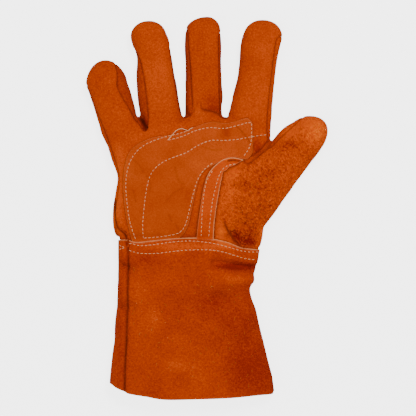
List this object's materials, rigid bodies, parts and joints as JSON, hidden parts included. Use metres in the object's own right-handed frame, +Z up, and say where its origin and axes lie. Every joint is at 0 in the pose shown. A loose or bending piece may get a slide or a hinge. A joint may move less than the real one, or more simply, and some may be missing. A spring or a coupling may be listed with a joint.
{
  "type": "split leather work glove",
  "caption": "Right-hand gauntlet work glove in split leather with palm patch, thumb strap and open cuff, lying palm up.",
  "frame": {"origin": "middle of the bounding box, at the underside the glove rests on", "axes": "+X towards the thumb side, +Y towards the fingertips, +Z up out of the palm"},
  "size_m": [0.2208, 0.3488, 0.0329],
  "materials": {
    "suede": "matt brushed split leather, orange",
    "side_suede": "matt brushed split leather, darker orange",
    "napped_suede": "matt split leather with a coarse curly nap",
    "smooth_split": "matt smooth split leather, slightly browner",
    "cuff_suede": "matt brushed split leather, orange",
    "thread": "matt spun thread, pale pinkish tan"
  },
  "bodies": {
    "root": {"palm_leather": "suede", "middle_finger_front": "suede", "back_leather": "suede", "fourchette_little_ring": "side_suede", "fourchette_ring_middle": "side_suede", "fourchette_middle_index": "side_suede", "thumb_front": "napped_suede", "thumb_back": "suede", "palm_patch": "smooth_split", "thumb_strap": "smooth_split", "cuff_front": "cuff_suede", "cuff_back": "cuff_suede"}
  },
  "joints": []
}
